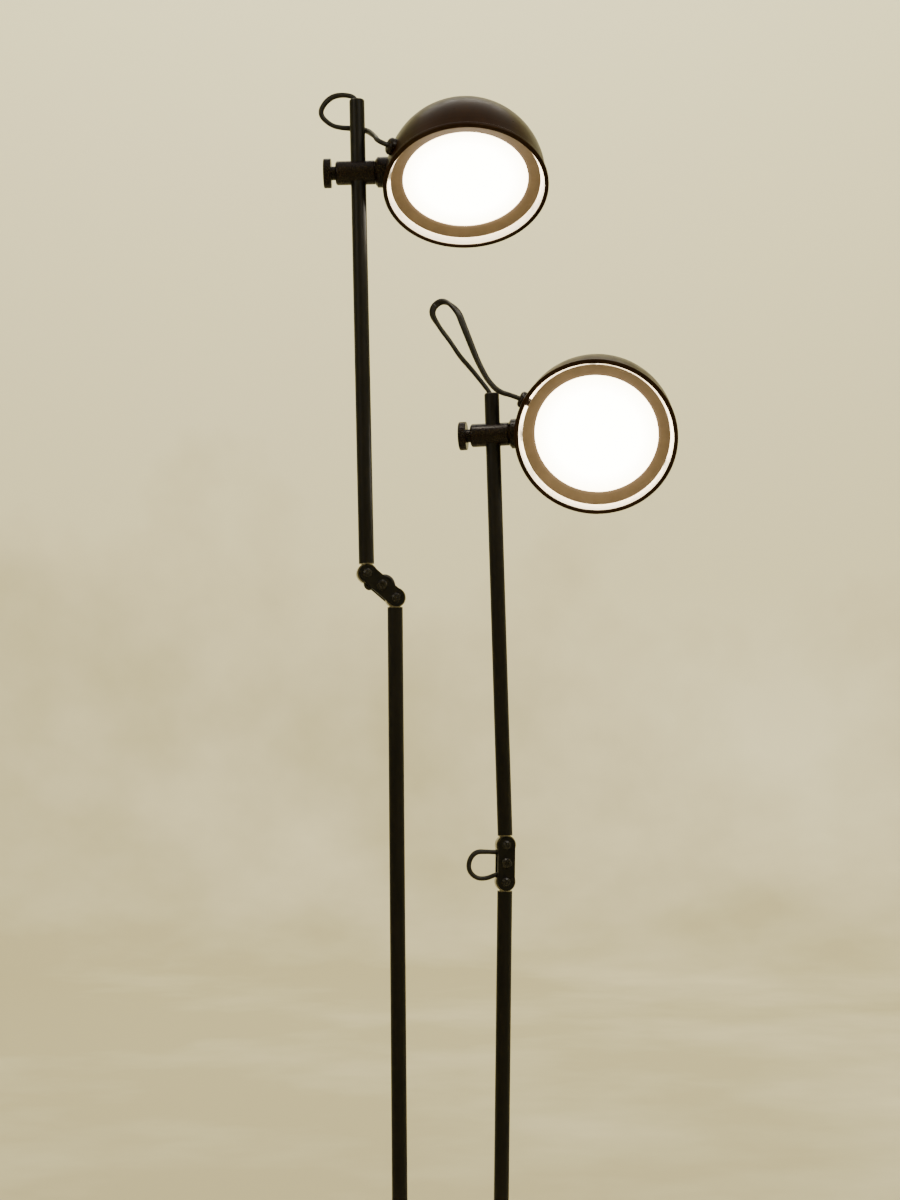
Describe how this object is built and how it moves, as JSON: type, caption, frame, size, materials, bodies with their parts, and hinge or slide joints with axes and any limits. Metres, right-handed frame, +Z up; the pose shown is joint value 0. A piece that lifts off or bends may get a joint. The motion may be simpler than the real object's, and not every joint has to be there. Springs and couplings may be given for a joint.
{
  "type": "twin-stem floor lamp",
  "caption": "Floor lamp with a tall and a shorter jointed stem on one round base, each holding a sliding, swivelling and tilting dome spot shade.",
  "frame": {"origin": "centre of the round base on the floor", "axes": "+Z up, +X towards the side that both shades reach to, -Y the front"},
  "size_m": [0.3856, 0.2924, 1.6288],
  "materials": {
    "stem_black": "satin",
    "clamp_black": "satin",
    "shade_bronze": "semi-gloss",
    "base_black": "satin",
    "ballast_iron": "rough",
    "bare_steel": "bright",
    "eye_metal": "tumbled",
    "brass_pad": "satin",
    "rubber_black": "matte",
    "lead_black": "satin",
    "plastic_black": "matte",
    "plastic_ivory": "matte",
    "ring_tan": "satin",
    "diffuser_white": "frosted",
    "board_metal": "matte"
  },
  "bodies": {
    "base": {"base_pad": "rubber_black", "base_cover": "base_black", "base_plate": "ballast_iron", "left_socket": "base_black", "right_socket": "base_black", "grub_screws": "bare_steel", "stem_nuts": "bare_steel", "cord_inlet_bush": "plastic_black", "terminal_block": "plastic_ivory", "left_lower_stem": "stem_black", "left_lower_eye": "eye_metal", "right_lower_stem": "stem_black", "right_lower_eye": "eye_metal"},
    "left_link": {"left_link_front": "clamp_black", "left_link_rear": "clamp_black", "left_link_sleeve": "bare_steel", "left_link_bolt": "bare_steel", "left_pivot_screws": "bare_steel", "left_link_nuts": "bare_steel", "left_friction_washers": "plastic_black", "left_elbow_lead": "lead_black"},
    "left_arm": {"left_upper_eye": "eye_metal", "left_upper_stem": "stem_black"},
    "left_swivel": {"left_stem_bush": "plastic_black", "left_head_lead": "lead_black"},
    "left_clamp": {"left_clamp_barrel": "clamp_black", "left_clamp_pad": "brass_pad"},
    "left_knob": {"left_clamp_knob": "clamp_black"},
    "left_head": {"left_hub": "clamp_black", "left_hub_nut": "bare_steel", "left_shade": "shade_bronze", "left_baffle_ring": "ring_tan", "left_ring_brackets": "bare_steel", "left_diffuser": "diffuser_white", "left_light_board": "board_metal", "left_lead_gland": "clamp_black"},
    "right_link": {"right_link_front": "clamp_black", "right_link_rear": "clamp_black", "right_link_sleeve": "bare_steel", "right_link_bolt": "bare_steel", "right_pivot_screws": "bare_steel", "right_link_nuts": "bare_steel", "right_friction_washers": "plastic_black", "right_elbow_lead": "lead_black"},
    "right_arm": {"right_upper_eye": "eye_metal", "right_upper_stem": "stem_black"},
    "right_swivel": {"right_stem_bush": "plastic_black", "right_head_lead": "lead_black"},
    "right_clamp": {"right_clamp_barrel": "clamp_black", "right_clamp_pad": "brass_pad"},
    "right_knob": {"right_clamp_knob": "clamp_black"},
    "right_head": {"right_hub": "clamp_black", "right_hub_nut": "bare_steel", "right_shade": "shade_bronze", "right_baffle_ring": "ring_tan", "right_ring_brackets": "bare_steel", "right_diffuser": "diffuser_white", "right_light_board": "board_metal", "right_lead_gland": "clamp_black"}
  },
  "joints": [
    {"name": "left_lower_pivot", "type": "hinge", "parent": "base", "child": "left_link", "pos_m": [-0.05732, -0.032, 1.09405], "axis": [-0.1736, 0.9848, -0.0016], "range_deg": [-38, 20], "deforming": ["left_elbow_lead"]},
    {"name": "left_upper_pivot", "type": "hinge", "parent": "left_link", "child": "left_arm", "pos_m": [-0.08672, -0.03714, 1.11916], "axis": [-0.1736, 0.9848, -0.0016], "range_deg": [-60, 20], "deforming": ["left_elbow_lead"]},
    {"name": "left_swivel", "type": "hinge", "parent": "left_arm", "child": "left_swivel", "pos_m": [-0.09819, -0.03835, 1.61803], "axis": [-0.023, -0.0024, 0.9997], "range_deg": [-120, 120]},
    {"name": "left_height", "type": "slide", "parent": "left_swivel", "child": "left_clamp", "axis": [-0.023, -0.0024, 0.9997], "range_m": [-0.04, 0.02], "deforming": ["left_head_lead"]},
    {"name": "left_knob_turn", "type": "hinge", "parent": "left_clamp", "child": "left_knob", "pos_m": [-0.12842, -0.03817, 1.54071], "axis": [0.9997, 0, 0.023], "range_deg": [0, 180]},
    {"name": "left_tilt", "type": "hinge", "parent": "left_clamp", "child": "left_head", "pos_m": [-0.08143, -0.03817, 1.54179], "axis": [0.9997, 0, 0.023], "range_deg": [-77, 52], "deforming": ["left_head_lead"]},
    {"name": "right_lower_pivot", "type": "hinge", "parent": "base", "child": "right_link", "pos_m": [0.05862, 0.032, 0.79424], "axis": [-0.1736, 0.9848, 0.0022], "range_deg": [-10, 90], "deforming": ["right_elbow_lead"]},
    {"name": "right_upper_pivot", "type": "hinge", "parent": "right_link", "child": "right_arm", "pos_m": [0.05918, 0.03201, 0.83323], "axis": [-0.1736, 0.9848, 0.0022], "range_deg": [-10, 60], "deforming": ["right_elbow_lead"]},
    {"name": "right_swivel", "type": "hinge", "parent": "right_arm", "child": "right_swivel", "pos_m": [0.04497, 0.02842, 1.31701], "axis": [-0.0294, -0.0074, 0.9995], "range_deg": [-100, 150]},
    {"name": "right_height", "type": "slide", "parent": "right_swivel", "child": "right_clamp", "axis": [-0.0294, -0.0074, 0.9995], "range_m": [-0.04, 0.02], "deforming": ["right_head_lead"]},
    {"name": "right_knob_turn", "type": "hinge", "parent": "right_clamp", "child": "right_knob", "pos_m": [0.01463, 0.03359, 1.27254], "axis": [0.9881, -0.1514, 0.0279], "range_deg": [0, 180]},
    {"name": "right_tilt", "type": "hinge", "parent": "right_clamp", "child": "right_head", "pos_m": [0.06107, 0.02647, 1.27385], "axis": [0.9881, -0.1514, 0.0279], "range_deg": [-46, 83], "deforming": ["right_head_lead"]}
  ]
}
